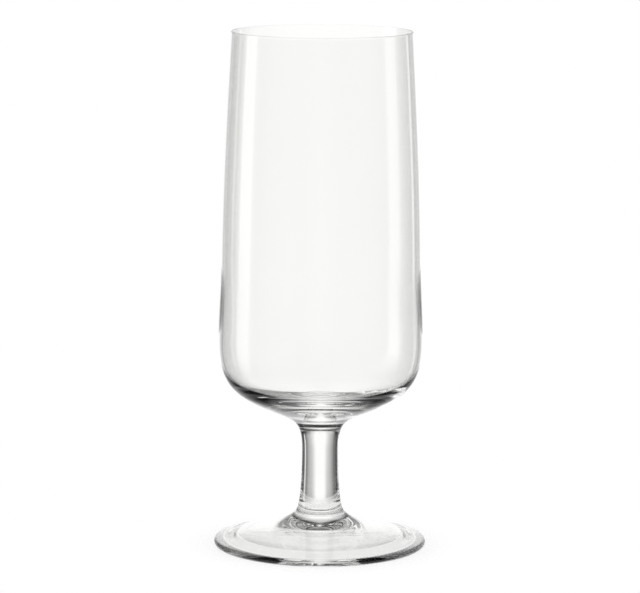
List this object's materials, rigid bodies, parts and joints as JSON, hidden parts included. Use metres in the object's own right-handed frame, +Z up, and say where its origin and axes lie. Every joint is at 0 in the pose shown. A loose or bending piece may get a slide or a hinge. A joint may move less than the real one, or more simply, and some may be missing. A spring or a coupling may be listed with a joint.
{
  "type": "footed beer glass",
  "caption": "Clear drinking glass: a tall blown bowl with a rounded base and a beaded rim, on a short solid stem and a round sloping foot.",
  "frame": {"origin": "middle of the foot, on the surface the glass stands on", "axes": "+Z up along the glass's axis, from the foot to the rim; X and Y are alike, because the glass is round"},
  "size_m": [0.072, 0.072, 0.175],
  "materials": {
    "clear_glass": "clear, fire-polished soda-lime glass, smooth inside and out"
  },
  "bodies": {
    "root": {"bowl": "clear_glass", "stem": "clear_glass", "foot": "clear_glass"}
  },
  "joints": []
}
